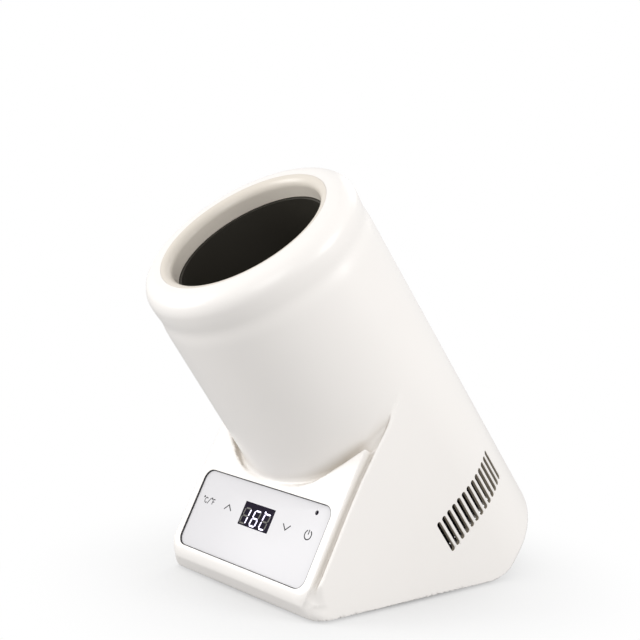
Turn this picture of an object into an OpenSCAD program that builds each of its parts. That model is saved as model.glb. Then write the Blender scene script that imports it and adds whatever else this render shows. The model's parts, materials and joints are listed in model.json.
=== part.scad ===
// Countertop wine cooler for one bottle: a leaning insulated tube over a wedge-shaped base.
// The cooling unit (cold block, Peltier module, heat sink and fan) sits under the bottle well.
// Units are millimetres. +Z is up, the control panel faces -Y, the origin is on the standing surface.

/* [Casing] */
// Angle that the tube leans forward from upright
tilt = 38; // [37:0.25:39]
// Outer radius of the tube at the height of the side vents
tube_r = 72; // [71.5:0.25:73]
// Draft angle that narrows the tube towards its mouth
draft = 1; // [0.75:0.05:1.25]
// Distance along the tube axis from the casing's bottom plane to the crest of the rim
rim_crest = 274; // [270:1:280]
// Radius of the outer rounding of the rim
rim_round = 11; // [9:0.5:12]
// Distance along the tube axis at which the lower back is cut off square
tail_cut = 5; // [4.5:0.25:6]
// Radius of the rounding of the square-cut lower back
tail_round = 3.5; // [2:0.5:5]
// Rounding of the underside where the floor turns up into the tail
heel_round = 33; // [25:1:40]
// Wall thickness of the casing
wall = 2.6; // [2.4:0.1:2.8]
// Height of the casing's bottom plane over the standing surface
foot_gap = 1.5; // [1:0.25:3]

/* [Control panel] */
// Slope of the panel face from the horizontal
panel_slope = 63.2; // [62:0.2:64]
// Distance from the tube axis to the panel's lower edge, along the bottom plane
panel_reach = 165.2; // [164:0.2:167]
// Height of the panel's lower edge over the bottom plane
panel_rise = 16.4; // [15:0.2:18]
// Distance from the tube axis to the front edge of the bottom plane
toe_reach = 161.5; // [160:0.5:162]
// Lean of the lower front face under the panel, from upright
toe_lean = 33; // [30:1:36]
// Rounding between the panel face and the lower front face
nose_round = 9.5; // [8:0.5:10]
// Half width of the flat panel face between its stepped sides
face_half_w = 66.6; // [66:0.1:68]
// How far the panel face stands above the glass overlay
face_lift = 1; // [0.2:0.1:1.5]
// How far the strips beside the panel face lie below the glass overlay
strip_drop = 2.5; // [2:0.1:3.5]
// Height up the slope at which the panel face's upper corners end
face_corner_u = 86.5; // [84:0.5:90]
// Width of the glass overlay
glass_w = 121; // [118:0.5:122]
// Length of the glass overlay up the slope
glass_l = 49.7; // [49:0.1:50]
// Thickness of the glass overlay
glass_t = 1.5; // [1.2:0.1:1.6]
// Corner radius of the glass overlay
glass_corner = 6.5; // [5:0.5:8]
// Gap between the glass overlay and its recess
glass_gap = 0.4; // [0.2:0.05:0.5]
// Height up the slope of the row of touch marks
touch_row = 30.6; // [29:0.2:32]
// Half distance between the two outer touch marks
touch_outer = 48; // [47:0.5:49]
// Half distance between the two inner touch marks
touch_inner = 28.1; // [27:0.5:29]
// Distance of the indicator hole from the middle
indicator_x = 48; // [46:0.2:50]
// Height of the indicator hole up the slope
indicator_u = 44.2; // [43:0.2:45]
// Width of the display window
display_w = 28.7; // [28:0.1:30]
// Height of the display window
display_h = 14.8; // [14.4:0.1:15]

/* [Side vents] */
// Number of slots on each side
vent_count = 13; // [9:1:13]
// Distance between neighbouring slots, measured around the casing
vent_pitch = 5.15; // [5:0.05:5.2]
// Width of a slot
vent_w = 3.1; // [2.4:0.1:3.4]
// Lower end of the slots, along the tube axis
vent_low = 53.4; // [52:0.2:55]
// Upper end of the slots, along the tube axis
vent_high = 77.4; // [74:0.2:80]
// Position of the foremost slot, measured around the casing from the tube's tangent line
vent_first = -27.2; // [-28:0.2:-26]

/* [Bottle well] */
// Radius of the mouth inside the rim
mouth_r = 48.5; // [48.5:0.1:49]
// Inner radius of the well
well_r = 47; // [45:0.25:47]
// Wall thickness of the well's metal liner
liner_t = 1.3; // [1:0.1:1.3]
// Position of the liner's underside along the tube axis
liner_base = 98; // [98:0.5:100]
// Position of the liner's top edge along the tube axis
liner_top = 261; // [258:0.5:262]

/* [Fan] */
// Side length of the fan's square frame
fan_size = 80; // [80:0.5:82]
// Thickness of the fan's frame along its axis
fan_depth = 20; // [19:0.5:20]
// Number of fan blades
blade_count = 7; // [5:1:9]

/* [Hidden] */
$fn = 96;
EPS = 0.01;

// Colours
shell_white = [0.94, 0.925, 0.91];
black_plastic = [0.05, 0.05, 0.055];
board_green = [0.07, 0.32, 0.17];
bare_metal = [0.74, 0.75, 0.77];
screw_metal = [0.6, 0.61, 0.63];

// The flat flanks stand this much inside the tube's widest points, so they leave it at a clean edge
flank_tuck = 0.25;

// Tube: radius at a distance s along the axis, and the rounding centres of its profile
draft_level = 60;
function tube_rad(s) = tube_r - tan(draft) * (s - draft_level);
rim_centre_s = rim_crest - rim_round;
rim_centre_r = tube_rad(rim_centre_s) - rim_round;
tail_centre_s = tail_cut + tail_round;
tail_centre_r = tube_rad(tail_centre_s) - tail_round;

// The origin is midway between the foremost point of the rim and the rearmost point of the tail
front_reach = sin(tilt) * rim_centre_s + cos(tilt) * rim_centre_r + rim_round;
back_reach = -sin(tilt) * tail_centre_s + cos(tilt) * tail_centre_r + tail_round;
foot_y = (front_reach - back_reach) / 2;

// Cooling stack along the tube axis, from the fan up to the well
fan_low = 37;
fan_high = fan_low + fan_depth;
baffle_t = 1.5;
fin_low = fan_high + baffle_t;
sink_low = 79;
sink_top = 84;
sink_size = 90;
fin_pitch = 4.6;
fin_t = 1.3;
ceramic_t = 0.8;
module_t = 4;
module_size = 40;
block_low = sink_top + module_t;
pad_t = 0.6;
block_top = liner_base - pad_t;
block_w = 62;
block_l = 46;
clamp_x = 26;
liner_floor_t = 2;
well_floor = liner_base + liner_floor_t;
bottle_pad_t = 3;
pad_r = well_r - 2;
foam_r = 64.5;
foam_top = 257;

// Fan
fan_bore_r = 38.4;
fan_hole = fan_size / 2 - 4.25;
fan_screw_r = 1.9;
hub_r = 16;
hub_wall = 1.2;
rotor_low = fan_low + 1.5;
rotor_high = rotor_low + 15;
blade_r = 37.2;
shaft_r = 1.5;
bearing_r = 4;

// Base
cover_t = 2.6;
cover_gap = 0.2;
foot_r = 7;
foot_x = 54;
foot_front_y = -149;
foot_back_y = -26;
foot_recess = 1;
boss_x = 65.3;
boss_r = 5;
base_screw_ys = [-134, -52];
base_screw_r = 1.45;

// Boards
panel_back = -8;
board_t = 1.6;
control_w = 119;
control_l = 46;
board_hole_x = 56.4;
board_hole_us = [5, 34];
power_w = 100;
power_l = 58;
power_y = -115;
power_z = 9.6;
connector_h = 8;
lead_xs = [-24, 0, 14, 30];
power_hole_x = power_w / 2 - 5;
power_hole_y = power_l / 2 - 5;

// Power jack on the back, along the direction square to the tube axis
jack_s = 17;
jack_r = 5.4;
jack_depth = 14;

// --- Placing ---

// Tube frame: X across, Y towards the back of the tube, Z along the tube axis
module along_tube() {
    translate([0, foot_y, foot_gap])
        rotate([tilt, 0, 0])
            children();
}

// Panel frame: X across, Y up the slope from the glass's lower edge, Z out of the panel
module on_panel() {
    translate([0, foot_y - panel_reach, foot_gap + panel_rise])
        rotate([panel_slope, 0, 0])
            children();
}

// Base frame: the casing's bottom plane, with Y measured from the tube axis
module on_base() {
    translate([0, foot_y, foot_gap])
        children();
}

// Extrudes an outline drawn in depth and height across the whole width of the casing
module across(half_w = 90) {
    on_base()
        translate([-half_w, 0, 0])
            rotate([90, 0, 90])
                linear_extrude(2 * half_w)
                    children();
}

// Copies its children on the left and right sides
module both_sides() {
    children();
    mirror([1, 0, 0])
        children();
}

// --- Outline helpers: a line is [a, b, c] with a*y + b*z = c, and [a, b] its outward unit normal ---

function meet(m, n) = let (d = m[0] * n[1] - m[1] * n[0])
    [(m[2] * n[1] - m[1] * n[2]) / d, (m[0] * n[2] - m[2] * n[0]) / d];
function reversed(points) = [for (i = [len(points) - 1 : -1 : 0]) points[i]];
function arc(centre, r, from, to, steps = 8) =
    [for (i = [0 : steps]) let (a = from + (to - from) * i / steps) centre + r * [cos(a), sin(a)]];

function panel_line(level) =
    [-sin(panel_slope), cos(panel_slope),
     sin(panel_slope) * panel_reach + cos(panel_slope) * panel_rise + level];
function toe_line(inset) = [-cos(toe_lean), -sin(toe_lean), cos(toe_lean) * toe_reach - inset];
function floor_line(z) = [0, -1, -z];
function tail_line(s) = [sin(tilt), -cos(tilt), -s];
axis_line = [cos(tilt), sin(tilt), 0];

// Underside of the casing, raised by lift: flat floor, rounded heel and the tail's end plane
function underside(lift) =
    concat([[-300, lift]],
           arc(meet(floor_line(heel_round), tail_line(tail_cut + heel_round)), heel_round - lift,
               270, 270 + tilt),
           [meet(tail_line(tail_cut + lift), [1, 0, 130])]);

// Side view of the wedge under the tube axis
function wedge_outline(inset, floor_z, tail_s) =
    let (r = nose_round - inset, face = inset > 0 ? -inset : face_lift)
    concat([meet(axis_line, panel_line(face))],
           arc(meet(panel_line(face - r), toe_line(inset + r)), r, 90 + panel_slope, 180 + toe_lean),
           [meet(toe_line(inset), floor_line(floor_z)),
            meet(floor_line(floor_z), tail_line(tail_s)),
            meet(tail_line(tail_s), axis_line)]);

// --- Casing volumes ---

// Space between the two drafted side planes
module side_planes(inset) {
    along_tube()
        intersection_for(side = [-1, 1])
            translate([side * (tube_r - flank_tuck - inset), 0, draft_level])
                rotate([0, -side * draft, 0])
                    translate([side > 0 ? -300 : 0, -200, -200])
                        cube([300, 400, 500]);
}

module above_underside(lift) {
    across()
        polygon(concat(underside(lift), [[130, 400], [-300, 400]]));
}

module wedge(inset, floor_z, tail_s) {
    intersection() {
        across()
            polygon(wedge_outline(inset, floor_z, tail_s));
        side_planes(inset);
    }
}

// Steps beside the panel face and over its upper corners, which leave the face standing proud
module panel_steps(inset) {
    on_panel()
        difference() {
            translate([-90, 0, -inset])
                rotate([90, 0, 90])
                    linear_extrude(180)
                        polygon([[-6, 30], [-6, face_lift], [13, -strip_drop], [50, -strip_drop],
                                 [86, -1.8 * strip_drop], [119, -3.2 * strip_drop],
                                 [150, -3.2 * strip_drop], [150, 30]]);
            translate([0, 0, -30])
                linear_extrude(70)
                    offset(delta = -inset)
                        polygon(concat(face_side(1), reversed(face_side(-1))));
        }
}

// Right or left half of the panel face's outline; its top runs into the tube
function face_side(side) =
    [for (p = [[face_half_w, -40], [face_half_w, face_corner_u], [33, 59.5], [28, 75]]) [side * p[0], p[1]]];

module casing_outside() {
    intersection() {
        union() {
            along_tube()
                rotate_extrude()
                    polygon(concat([[0, tail_cut]],
                                   arc([tail_centre_r, tail_centre_s], tail_round, -90, 0, 5),
                                   arc([rim_centre_r, rim_centre_s], rim_round, 0, 90, 10),
                                   [[0, rim_crest]]));
            difference() {
                wedge(0, 0, tail_cut);
                panel_steps(0);
            }
        }
        above_underside(0);
    }
}

// Inside of the casing, open at the bottom and at the tail
module casing_inside(inset, floor_z, tail_s) {
    intersection() {
        along_tube()
            rotate_extrude()
                polygon(concat([[0, tail_s], [tube_rad(tail_s) - inset, tail_s]],
                               arc([rim_centre_r, rim_centre_s], rim_round - inset, 0, 90, 10),
                               [[0, rim_crest - inset]]));
        on_base()
            translate([-150, -300, floor_z])
                cube([300, 500, 400]);
    }
    difference() {
        wedge(inset, floor_z, tail_s);
        panel_steps(inset);
    }
}

// --- Small repeated shapes ---

module ring(r_out, r_in, low, high) {
    translate([0, 0, low])
        difference() {
            cylinder(r = r_out, h = high - low);
            translate([0, 0, -1])
                cylinder(r = r_in, h = high - low + 2);
        }
}

module block(w, l, low, high) {
    translate([-w / 2, -l / 2, low])
        cube([w, l, high - low]);
}

// Rounded rectangle, centred across and standing on its lower edge
module rounded_outline(w, l, r) {
    translate([-w / 2, r])
        square([w, l - 2 * r]);
    translate([-w / 2 + r, 0])
        square([w - 2 * r, l]);
    for (x = [-w / 2 + r, w / 2 - r], y = [r, l - r])
        translate([x, y])
            circle(r);
}

// Screw standing on its thread's end, with the head on top
module screw(shank_r, shank_l, head_r, head_h) {
    cylinder(r = shank_r, h = shank_l, $fn = 32);
    translate([0, 0, shank_l])
        difference() {
            cylinder(r = head_r, h = head_h, $fn = 32);
            for (turn = [0, 90])
                rotate([0, 0, turn])
                    translate([-head_r * 0.6, -0.35, head_h * 0.5])
                        cube([head_r * 1.2, 0.7, head_h]);
        }
}

// --- Casing ---

module vent_slot() {
    straight = vent_high - vent_low - vent_w;
    rotate([0, 90, 0])
        translate([0, 0, -8])
            linear_extrude(14)
                union() {
                    square([straight, vent_w], center = true);
                    for (end = [-1, 1])
                        translate([end * straight / 2, 0])
                            circle(vent_w / 2, $fn = 24);
                }
}

// One side's slots: on the flat flank up to the tangent line, then around the tube
module vent_row() {
    middle = (vent_low + vent_high) / 2;
    r = tube_rad(middle);
    for (i = [0 : vent_count - 1]) {
        along = vent_first + i * vent_pitch;
        turn = max(along, 0) / r * 180 / PI;
        rotate([0, 0, turn])
            translate([r, min(along, 0), middle])
                vent_slot();
    }
}

module panel_boss() {
    translate([0, 0, panel_back])
        cylinder(r = 3.2, h = -panel_back - wall + EPS, $fn = 32);
}

module at_board_holes() {
    for (x = [-board_hole_x, board_hole_x], u = board_hole_us)
        translate([x, u, 0])
            children();
}

module at_base_screws() {
    for (x = [-boss_x, boss_x], y = base_screw_ys)
        translate([x, y, 0])
            children();
}

module main_housing() {
    color(shell_white)
        difference() {
            union() {
                difference() {
                    casing_outside();
                    casing_inside(wall, -1, tail_cut - 1);
                }
                on_panel()
                    at_board_holes()
                        panel_boss();
                on_base()
                    at_base_screws()
                        translate([0, 0, cover_t])
                            cylinder(r = boss_r, h = 16, $fn = 32);
            }
            along_tube() {
                translate([0, 0, rim_centre_s])
                    cylinder(r = collar_seam_r + 0.1, h = 30);
                both_sides()
                    vent_row();
                translate([0, 60, jack_s])
                    rotate([-90, 0, 0])
                        cylinder(r = jack_r + 0.15, h = 30, $fn = 48);
            }
            on_panel() {
                translate([0, -glass_gap, -glass_t])
                    linear_extrude(10)
                        rounded_outline(glass_w + 2 * glass_gap, glass_l + 2 * glass_gap,
                                        glass_corner + glass_gap);
                translate([0, 5, -6])
                    linear_extrude(10)
                        rounded_outline(106, glass_l - 10, 3);
                at_indicator()
                    translate([0, 0, -6])
                        cylinder(r = 2, h = 10, $fn = 32);
                at_board_holes()
                    translate([0, 0, panel_back - 1])
                        cylinder(r = 1.2, h = 5.5, $fn = 32);
            }
            on_base()
                at_base_screws()
                    translate([0, 0, cover_t - 1])
                        cylinder(r = base_screw_r + 0.05, h = 13, $fn = 32);
        }
}

// Inner half of the rim: rounds over the mouth and holds the liner down
collar_seam_r = 54;
collar_round = 5.5;
module rim_collar() {
    top_s = rim_crest;
    round_centre = [mouth_r + collar_round, top_s - collar_round];
    color(shell_white)
        along_tube()
            rotate_extrude()
                polygon(concat([[mouth_r, liner_top]],
                               arc(round_centre, collar_round, 180, 90, 8),
                               [[collar_seam_r + EPS, top_s],
                                [collar_seam_r + EPS, top_s - wall - 0.1],
                                [collar_seam_r + 3, top_s - wall - 0.1],
                                [collar_seam_r + 3, top_s - wall - 2.1],
                                [mouth_r + 2.5, top_s - wall - 2.1],
                                [mouth_r + 2.5, liner_top]]));
}

module base_cover() {
    color(shell_white)
        difference() {
            intersection() {
                casing_inside(wall + cover_gap, -1, tail_cut - 1);
                across()
                    polygon(concat(underside(0), reversed(underside(cover_t))));
            }
            along_tube()
                for (v = [6 : 6 : 54])
                    translate([0, v, tail_cut - 1])
                        linear_extrude(cover_t + 3)
                            rounded_slot(0.72 * sqrt(pow(tube_r, 2) - pow(v, 2)) * 2, 3);
            on_base() {
                for (y = [-100 : 6 : -58])
                    translate([0, y, -1])
                        linear_extrude(cover_t + 2)
                            rounded_slot(74, 3);
                at_feet()
                    translate([0, 0, -1])
                        cylinder(r = foot_r + 0.1, h = foot_recess + 1, $fn = 48);
                at_base_screws() {
                    translate([0, 0, -1])
                        cylinder(r = base_screw_r + 0.2, h = cover_t + 2, $fn = 32);
                    translate([0, 0, -1])
                        cylinder(r = 3.1, h = 2.4, $fn = 32);
                }
            }
        }
    color(shell_white)
        on_base()
            at_power_holes()
                translate([0, 0, cover_t - EPS])
                    difference() {
                        cylinder(r = 3.2, h = power_z - cover_t + EPS, $fn = 32);
                        translate([0, 0, 1])
                            cylinder(r = 1.25, h = 20, $fn = 32);
                    }
}

module rounded_slot(l, w) {
    square([l - w, w], center = true);
    for (end = [-1, 1])
        translate([end * (l - w) / 2, 0])
            circle(w / 2, $fn = 24);
}

module at_feet() {
    for (x = [-foot_x, foot_x], y = [foot_front_y, foot_back_y])
        translate([x, y, 0])
            children();
}

module rubber_feet() {
    color([0.12, 0.12, 0.12])
        on_base()
            at_feet()
                translate([0, 0, -foot_gap])
                    cylinder(r = foot_r, h = foot_gap + foot_recess, $fn = 48);
}

module base_screws() {
    color(screw_metal)
        on_base()
            at_base_screws()
                translate([0, 0, 12.4])
                    rotate([180, 0, 0])
                        screw(base_screw_r, 11, 2.8, 1.2);
}

// --- Bottle well ---

module well_liner() {
    color([0.14, 0.14, 0.13])
        along_tube()
            rotate_extrude()
                polygon([[0, liner_base], [well_r + liner_t, liner_base],
                         [well_r + liner_t, liner_top - 1.5], [collar_seam_r - 1, liner_top - 1.5],
                         [collar_seam_r - 1, liner_top], [well_r, liner_top],
                         [well_r, well_floor + bottle_pad_t], [pad_r + 0.2, well_floor + bottle_pad_t],
                         [pad_r + 0.2, well_floor], [0, well_floor]]);
}

module liner_gasket() {
    color([0.3, 0.3, 0.3])
        along_tube()
            ring(collar_seam_r - 1, well_r + liner_t + 0.2, foam_top, liner_top - 1.5);
}

module bottle_pad() {
    color([0.2, 0.2, 0.2])
        along_tube()
            difference() {
                translate([0, 0, well_floor])
                    cylinder(r = pad_r, h = bottle_pad_t);
                for (r = [12 : 10 : 42])
                    ring(r + 1.5, r, well_floor + bottle_pad_t - 1, well_floor + bottle_pad_t + 1);
            }
}

module foam_jacket() {
    color([0.93, 0.92, 0.86])
        along_tube()
            difference() {
                ring(foam_r, well_r + liner_t + 0.2, liner_base + 0.2, foam_top);
                translate([-4, -56, liner_base - 1])
                    cube([8, 12, 46]);
            }
}

module foam_floor() {
    color([0.93, 0.92, 0.86])
        along_tube()
            difference() {
                translate([0, 0, block_low + 0.2])
                    cylinder(r = foam_r, h = liner_base - block_low - 0.2);
                block(block_w + 0.4, block_l + 0.4, block_low - 1, liner_base + 1);
                translate([-6, -foam_r - 1, block_low - 1])
                    cube([12, foam_r - 43, 20]);
            }
}

// --- Cooling unit ---

module thermal_pad() {
    color([0.55, 0.6, 0.68])
        along_tube()
            block(block_w, block_l, block_top, liner_base);
}

module at_clamps() {
    for (x = [-clamp_x, clamp_x])
        translate([x, 0, 0])
            children();
}

module cold_block() {
    color(bare_metal)
        along_tube()
            difference() {
                block(block_w, block_l, block_low, block_top);
                at_clamps() {
                    translate([0, 0, block_low - 1])
                        cylinder(r = 3.25, h = 20, $fn = 32);
                    translate([0, 0, block_low + 5.6])
                        cylinder(r = 3.9, h = 20, $fn = 32);
                }
            }
}

module peltier_cold_plate() {
    color([0.95, 0.95, 0.93])
        along_tube()
            block(module_size, module_size, block_low - ceramic_t, block_low);
}

module peltier_hot_plate() {
    color([0.95, 0.95, 0.93])
        along_tube()
            block(module_size, module_size, sink_top, sink_top + ceramic_t);
}

module peltier_pellets() {
    rows = 8;
    pitch = (module_size - 4) / rows;
    color([0.35, 0.35, 0.38])
        along_tube()
            for (i = [0 : rows - 1], j = [0 : rows - 1])
                translate([(i - (rows - 1) / 2) * pitch, (j - (rows - 1) / 2) * pitch, 0])
                    block(2.4, 2.4, sink_top + ceramic_t, block_low - ceramic_t);
}

module peltier_seal() {
    color([0.25, 0.25, 0.25])
        along_tube()
            difference() {
                block(76, 64, sink_top, block_low);
                block(module_size + 2, module_size + 2, sink_top - 1, block_low + 1);
                at_clamps()
                    translate([0, 0, sink_top - 1])
                        cylinder(r = 2.4, h = 10, $fn = 32);
                translate([-3, -38, sink_top - 1])
                    cube([6, 20, 10]);
            }
}

module clamp_screws() {
    color(screw_metal)
        along_tube()
            at_clamps()
                translate([0, 0, sink_low + 1.2])
                    screw(1.95, block_low + 5.6 - sink_low - 1.2, 3.5, 3.2);
}

module clamp_bushes() {
    color([0.92, 0.92, 0.88])
        along_tube()
            at_clamps()
                ring(3.2, 2.05, block_low, block_low + 5.5);
}

module heat_sink() {
    fin_count = floor((sink_size - fin_t) / fin_pitch) + 1;
    fin_span = (fin_count - 1) * fin_pitch;
    color([0.2, 0.2, 0.21])
        along_tube()
            difference() {
                union() {
                    block(sink_size, sink_size, sink_low, sink_top);
                    for (i = [0 : fin_count - 1])
                        translate([0, i * fin_pitch - fin_span / 2, 0])
                            block(sink_size, fin_t, fin_low, sink_low + EPS);
                }
                at_clamps()
                    translate([0, 0, sink_low + 1])
                        cylinder(r = 2, h = 10, $fn = 32);
                at_fan_holes()
                    translate([0, 0, fin_low - 1])
                        cylinder(r = fan_screw_r + 0.05, h = 8, $fn = 32);
            }
}

// Plate that parts the intake space below from the exhaust space beside the fins
module air_baffle() {
    color(black_plastic)
        difference() {
            intersection() {
                casing_inside(wall + 0.6, 0, tail_cut);
                along_tube()
                    translate([-80, -52, fan_high])
                        cube([160, 140, baffle_t]);
            }
            along_tube() {
                translate([0, 0, fan_high - 1])
                    cylinder(r = fan_bore_r, h = 5);
                at_fan_holes()
                    translate([0, 0, fan_high - 1])
                        cylinder(r = fan_screw_r + 0.2, h = 5, $fn = 32);
                translate([46, -45, fan_high - 1])
                    cube([9, 5, 5]);
                translate([-3, 49, fan_high - 1])
                    cube([6, 6, 5]);
            }
        }
}

module at_fan_holes() {
    for (x = [-fan_hole, fan_hole], y = [-fan_hole, fan_hole])
        translate([x, y, 0])
            children();
}

module fan_frame() {
    color(black_plastic)
        along_tube()
            difference() {
                union() {
                    difference() {
                        block(fan_size, fan_size, fan_low, fan_high);
                        translate([0, 0, fan_low - 1])
                            cylinder(r = fan_bore_r, h = fan_depth + 2);
                    }
                    for (turn = [45 : 90 : 315])
                        rotate([0, 0, turn])
                            translate([0, -1.5, fan_high - 2])
                                cube([fan_bore_r + 1, 3, 2]);
                    translate([0, 0, fan_high - 2])
                        cylinder(r = 15, h = 2);
                    translate([0, 0, rotor_low + 3])
                        cylinder(r = bearing_r, h = fan_high - rotor_low - 4, $fn = 48);
                }
                translate([0, 0, fan_low - 1])
                    cylinder(r = shaft_r + 0.05, h = fan_depth - 1, $fn = 48);
                at_fan_holes()
                    translate([0, 0, fan_low - 1])
                        cylinder(r = fan_screw_r + 0.2, h = fan_depth + 2, $fn = 32);
            }
}

module fan_stator() {
    color([0.72, 0.4, 0.18])
        along_tube()
            difference() {
                union() {
                    for (turn = [0, 90])
                        rotate([0, 0, turn])
                            block(24, 7, rotor_low + 4, rotor_high - 1);
                    ring(7, bearing_r + 0.05, rotor_low + 4, rotor_high - 1);
                }
                translate([0, 0, rotor_low])
                    cylinder(r = bearing_r + 0.05, h = 20, $fn = 48);
            }
}

module fan_rotor() {
    pitch_angle = 52;
    color(black_plastic)
        along_tube() {
            ring(hub_r, hub_r - hub_wall, rotor_low, rotor_high);
            translate([0, 0, rotor_low])
                cylinder(r = hub_r - hub_wall + EPS, h = 1.5);
            for (i = [0 : blade_count - 1])
                rotate([0, 0, i * 360 / blade_count])
                    intersection() {
                        translate([hub_r - 0.5, 0, (rotor_low + rotor_high) / 2])
                            rotate([pitch_angle, 0, 0])
                                translate([0, -10, -0.8])
                                    cube([24, 20, 1.6]);
                        ring(blade_r, hub_r - 0.6, rotor_low + 0.5, rotor_high - 0.5);
                    }
        }
}

module fan_magnet() {
    color([0.3, 0.3, 0.33])
        along_tube()
            ring(hub_r - hub_wall, 13.2, rotor_low + 2.5, rotor_high - 0.5);
}

module fan_shaft() {
    color(bare_metal)
        along_tube()
            translate([0, 0, rotor_low + 1.5])
                cylinder(r = shaft_r, h = 14, $fn = 48);
}

module fan_screws() {
    color(screw_metal)
        along_tube()
            at_fan_holes()
                translate([0, 0, fan_high + 6])
                    rotate([180, 0, 0])
                        screw(fan_screw_r, fan_depth + 6, 3.4, 1.4);
}

module temperature_sensor() {
    color([0.1, 0.1, 0.1])
        along_tube()
            translate([0, -(well_r + liner_t + 2.5), 122]) {
                cylinder(r = 2.4, h = 12, $fn = 32);
                translate([0, 0, 12])
                    sphere(r = 2.4, $fn = 32);
            }
}

// --- Control panel ---

module touch_glass() {
    color([0.96, 0.95, 0.97])
        on_panel()
            difference() {
                translate([0, 0, -glass_t])
                    linear_extrude(glass_t)
                        rounded_outline(glass_w, glass_l, glass_corner);
                at_indicator()
                    translate([0, 0, -glass_t - 1])
                        cylinder(r = 0.9, h = glass_t + 2, $fn = 24);
            }
}

module at_indicator() {
    translate([indicator_x, indicator_u, 0])
        children();
}

display_low = touch_row - display_h / 2;
module display_module() {
    color(black_plastic)
        on_panel()
            translate([0, display_low, panel_back])
                linear_extrude(-panel_back - glass_t - 0.5)
                    translate([-display_w / 2, 0])
                        square([display_w, display_h]);
}

// Seven-segment digits; segments a to g run clockwise from the top, with g across the middle
digit_w = 5.2;
digit_h = 9.6;
digit_pitch = 8.6;
digit_slant = 8;
segment_w = 1.1;
digits = [[0, 1, 1, 0, 0, 0, 0], [1, 0, 1, 1, 1, 1, 1], [1, 0, 0, 1, 1, 1, 0]];
function segment_place(k) =
    let (w = digit_w / 2, h = digit_h / 4)
    [[0, 2 * h, 0], [w, h, 90], [w, -h, 90], [0, -2 * h, 0], [-w, -h, 90], [-w, h, 90], [0, 0, 0]][k];

module segment(k) {
    place = segment_place(k);
    bar = place[2] == 0 ? digit_w - 1.5 : digit_h / 2 - 1.5;
    translate([place[0] + place[1] * tan(digit_slant), place[1]])
        rotate([0, 0, place[2] == 0 ? 0 : 90 - digit_slant])
            polygon([[-bar / 2 - segment_w / 2, 0], [-bar / 2, segment_w / 2],
                     [bar / 2, segment_w / 2], [bar / 2 + segment_w / 2, 0],
                     [bar / 2, -segment_w / 2], [-bar / 2, -segment_w / 2]]);
}

module segments(lit) {
    on_panel()
        translate([0, touch_row, -glass_t - 0.5])
            linear_extrude(0.3)
                for (d = [0 : 2], k = [0 : 6])
                    if (digits[d][k] == lit)
                        translate([(d - 1) * digit_pitch, 0])
                            segment(k);
}

module lit_segments() {
    color([0.86, 0.82, 1])
        segments(1);
}

module unlit_segments() {
    color([0.2, 0.19, 0.15])
        segments(0);
}

module indicator_led() {
    color([0.1, 0.1, 0.1])
        on_panel()
            at_indicator() {
                translate([0, 0, panel_back])
                    cylinder(r = 1.5, h = -panel_back - glass_t - 0.7, $fn = 24);
                translate([0, 0, -glass_t - 0.7])
                    sphere(r = 0.7, $fn = 24);
            }
}

module touch_springs() {
    color([0.8, 0.68, 0.4])
        on_panel()
            for (x = [-touch_outer, -touch_inner, touch_inner, touch_outer])
                translate([x, touch_row, 0])
                    for (turn = [0 : 5])
                        ring(3.6, 2.9, panel_back + turn * 1.04, panel_back + turn * 1.04 + 1.05);
}

module control_board() {
    color(board_green)
        on_panel()
            difference() {
                translate([-control_w / 2, 1.8, panel_back - board_t])
                    cube([control_w, control_l, board_t]);
                at_board_holes()
                    translate([0, 0, panel_back - board_t - 1])
                        cylinder(r = 1.5, h = 5, $fn = 32);
            }
    color(black_plastic)
        on_panel() {
            translate([14, 12, panel_back - board_t - 1.2])
                cube([10, 10, 1.2 + EPS]);
            translate([-8, 36, panel_back - board_t - 5])
                cube([16, 5, 5 + EPS]);
        }
}

module board_screws() {
    color(screw_metal)
        on_panel()
            at_board_holes()
                translate([0, 0, panel_back + 4])
                    rotate([180, 0, 0])
                        screw(1.15, 4 + board_t, 2.6, 1.6);
}

// --- Power electronics ---

module at_power_holes() {
    for (x = [-power_hole_x, power_hole_x], y = [-power_hole_y, power_hole_y])
        translate([x, power_y + y, 0])
            children();
}

module power_board() {
    color(board_green)
        on_base()
            difference() {
                translate([0, power_y, 0])
                    block(power_w, power_l, power_z, power_z + board_t);
                at_power_holes()
                    translate([0, 0, power_z - 1])
                        cylinder(r = 1.5, h = 5, $fn = 32);
            }
}

module power_components() {
    top = power_z + board_t;
    color([0.16, 0.16, 0.2])
        on_base()
            translate([0, power_y, 0]) {
                for (x = [-30, -18, -6])
                    translate([x, 14, top])
                        cylinder(r = 4.5, h = 14, $fn = 32);
                translate([22, 8, 0])
                    ring(9, 4, top, top + 8);
                translate([-22, -6, 0])
                    block(30, 3, top, top + 16);
                translate([24, -15, 0])
                    block(12, 12, top, top + 2);
                translate([0, -14, 0])
                    block(14, 6, top, top + connector_h);
                for (x = lead_xs)
                    translate([x, power_l / 2 - 4, 0])
                        block(6, 5, top, top + connector_h);
            }
}

module power_board_screws() {
    color(screw_metal)
        on_base()
            at_power_holes()
                translate([0, 0, power_z - 5])
                    screw(1.2, 5 + board_t, 2.6, 1.6);
}

module power_jack() {
    color(black_plastic)
        along_tube()
            translate([0, tube_rad(jack_s) - jack_depth - 0.3, jack_s])
                rotate([-90, 0, 0])
                    difference() {
                        union() {
                            cylinder(r = jack_r, h = jack_depth, $fn = 48);
                            translate([-7, -6.5, -2])
                                cube([14, 13, 6]);
                        }
                        translate([0, 0, 3])
                            ring(2.85, 1, 0, 20);
                    }
}

// --- Wires: a round tube swept along a smooth curve through a few points ---

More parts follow.
